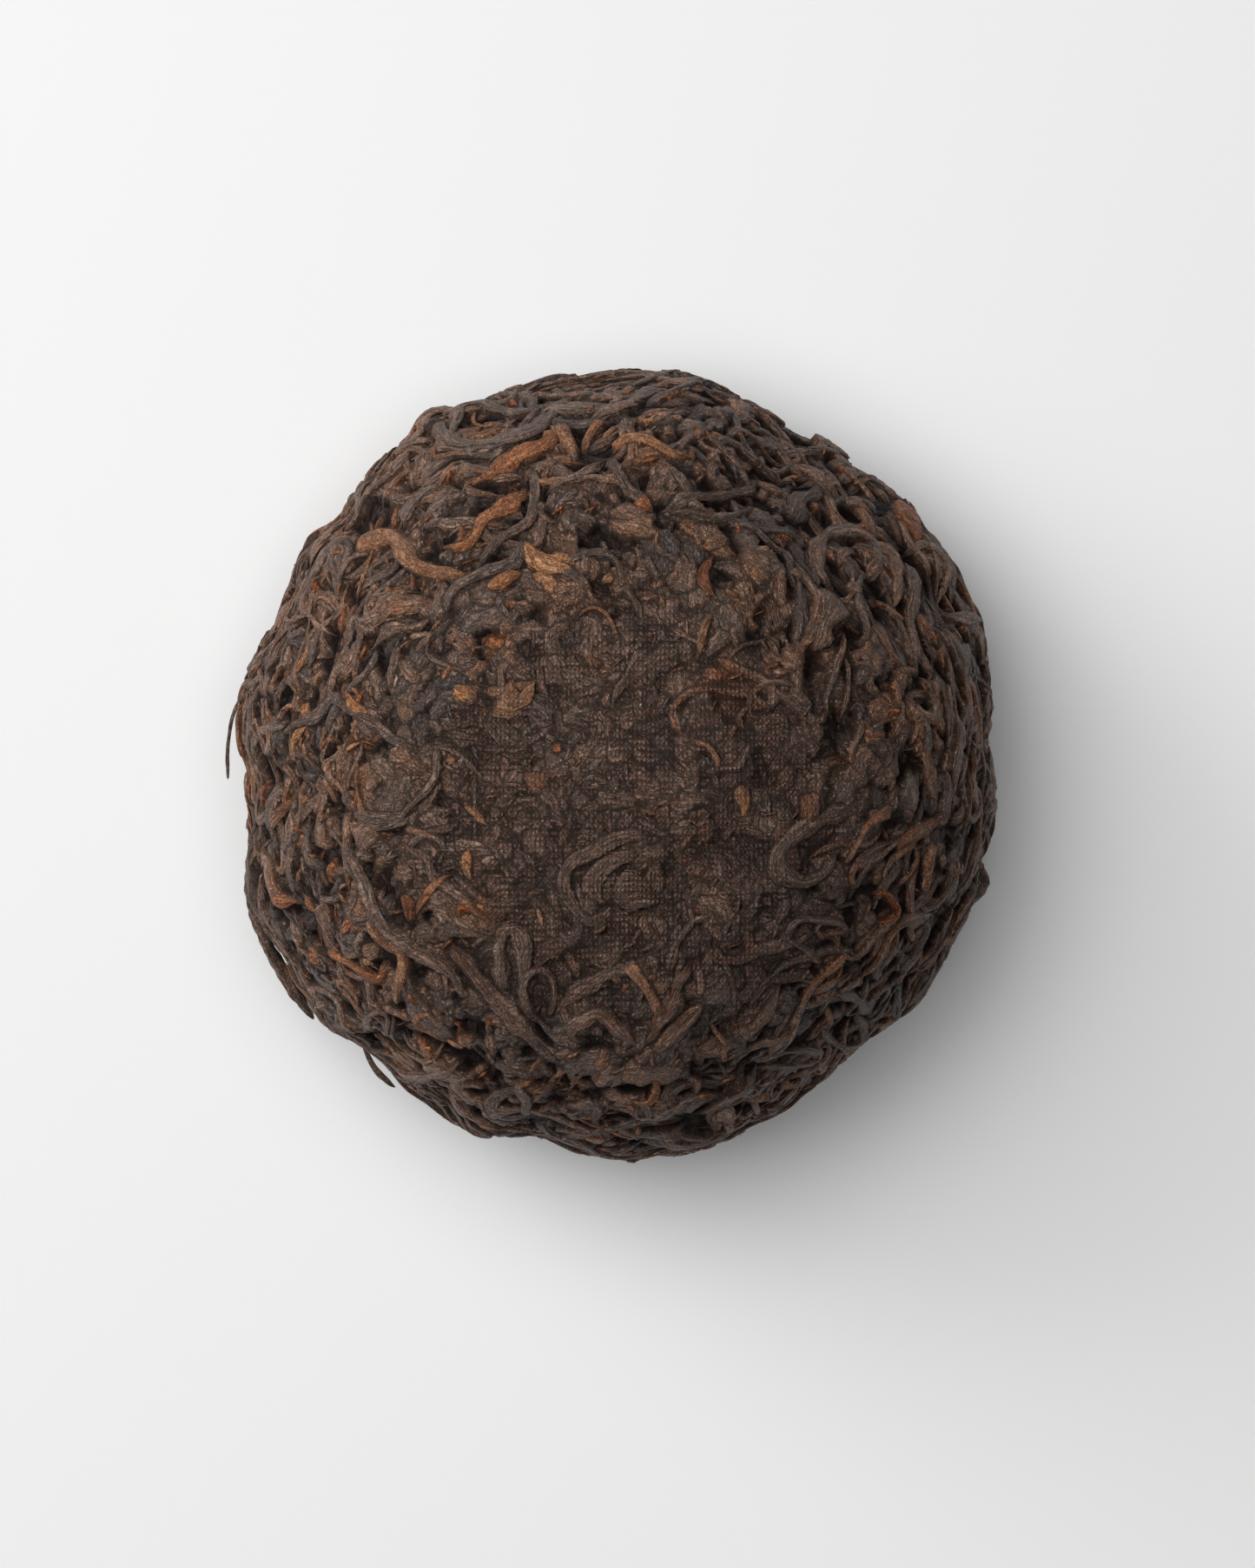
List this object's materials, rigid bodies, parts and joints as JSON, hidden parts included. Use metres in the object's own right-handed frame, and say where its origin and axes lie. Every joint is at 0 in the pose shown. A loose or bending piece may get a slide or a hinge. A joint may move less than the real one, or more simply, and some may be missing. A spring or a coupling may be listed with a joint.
{
  "type": "pressed nest of ripe pu-erh tea",
  "caption": "Dome of dark ripe tea leaves pressed in a cloth bag, with a hollow underneath, standing on its flat rim.",
  "frame": {"origin": "middle of the box of the whole outline, on the surface that the nest stands on", "axes": "+Z up through the crown; seen from above, +X is to the right and +Y up in the reference view"},
  "size_m": [0.082, 0.0848, 0.0452],
  "materials": {
    "dark_leaf": "matte, finely grooved",
    "golden_leaf": "matte, finely grooved"
  },
  "bodies": {
    "root": {"tea_cake": "dark_leaf"}
  },
  "joints": []
}
